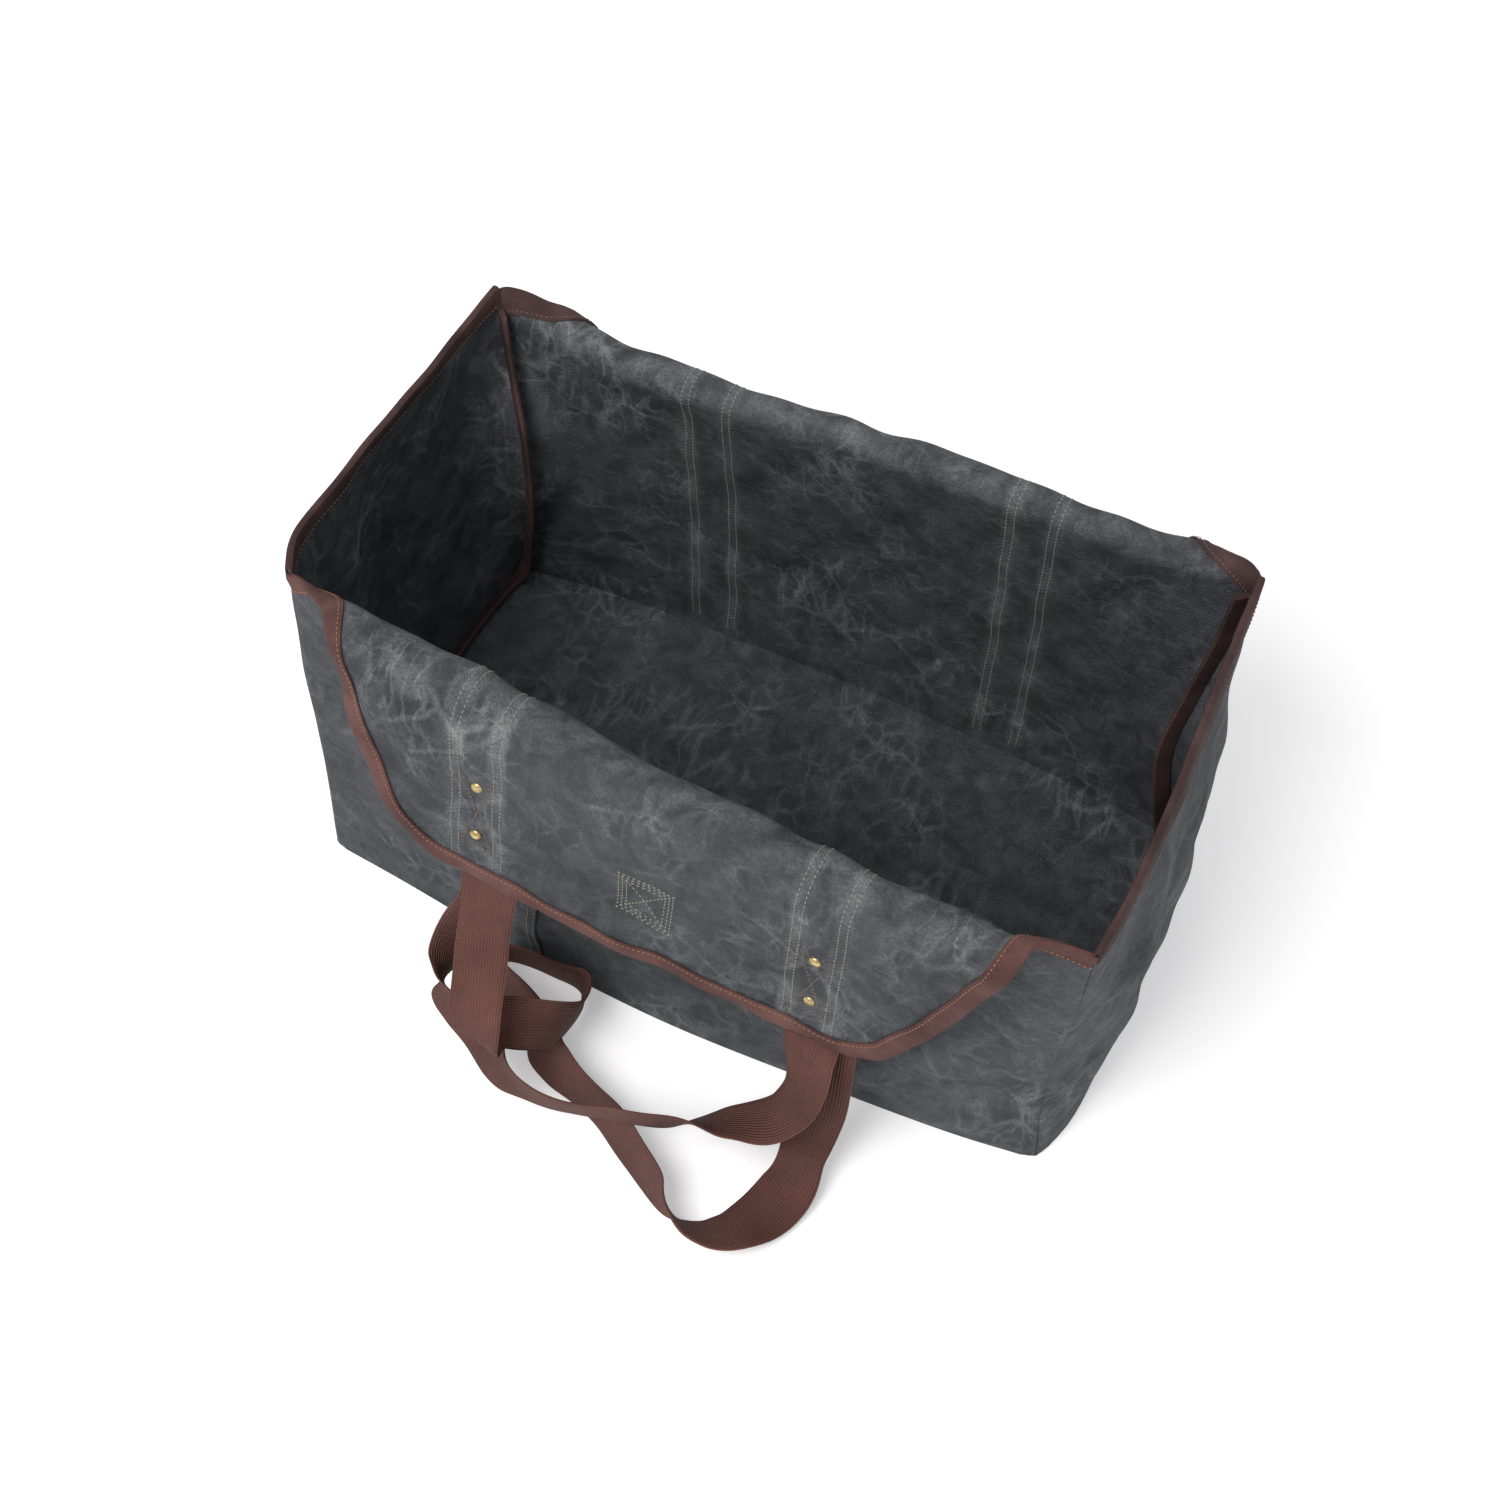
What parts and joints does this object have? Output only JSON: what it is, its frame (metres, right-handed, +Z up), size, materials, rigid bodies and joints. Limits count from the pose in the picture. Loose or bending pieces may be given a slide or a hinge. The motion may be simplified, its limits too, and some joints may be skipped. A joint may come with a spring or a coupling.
{
  "type": "canvas log carrier",
  "caption": "Open-topped soft box of waxed canvas for carrying firewood, with folded-over flaps along its long sides, tape-bound edges and webbing carrying handles.",
  "frame": {"origin": "middle of the flat underside, on the floor", "axes": "+Z up, X along the bag's length, -Y the front that the camera side flap hangs over, +X its right end"},
  "size_m": [0.6004, 0.6372, 0.331],
  "materials": {
    "waxed_canvas": "matt waxed cotton canvas, charcoal grey with pale scuffs",
    "brown_tape": "matt woven tape, reddish brown",
    "brown_webbing": "matt ribbed webbing, reddish brown",
    "brass": "worn satin brass"
  },
  "bodies": {
    "root": {"front_panel": "waxed_canvas", "back_panel": "waxed_canvas", "end_panel_left": "waxed_canvas", "end_panel_right": "waxed_canvas", "bottom_panel": "waxed_canvas", "strap_band_front_left": "waxed_canvas", "strap_band_front_right": "waxed_canvas", "strap_band_back_left": "waxed_canvas", "strap_band_back_right": "waxed_canvas", "front_flap_binding": "brown_tape", "back_flap_binding": "brown_tape", "end_binding_left": "brown_tape", "end_binding_right": "brown_tape", "seam_binding_left": "brown_tape", "seam_binding_right": "brown_tape", "handle_front_long": "brown_webbing", "handle_front_short": "brown_webbing", "handle_back_long": "brown_webbing", "handle_back_short": "brown_webbing", "rivet_front_1": "brass", "rivet_front_2": "brass", "rivet_front_3": "brass", "rivet_front_4": "brass", "rivet_back_1": "brass", "rivet_back_2": "brass", "rivet_back_3": "brass", "rivet_back_4": "brass"}
  },
  "joints": []
}
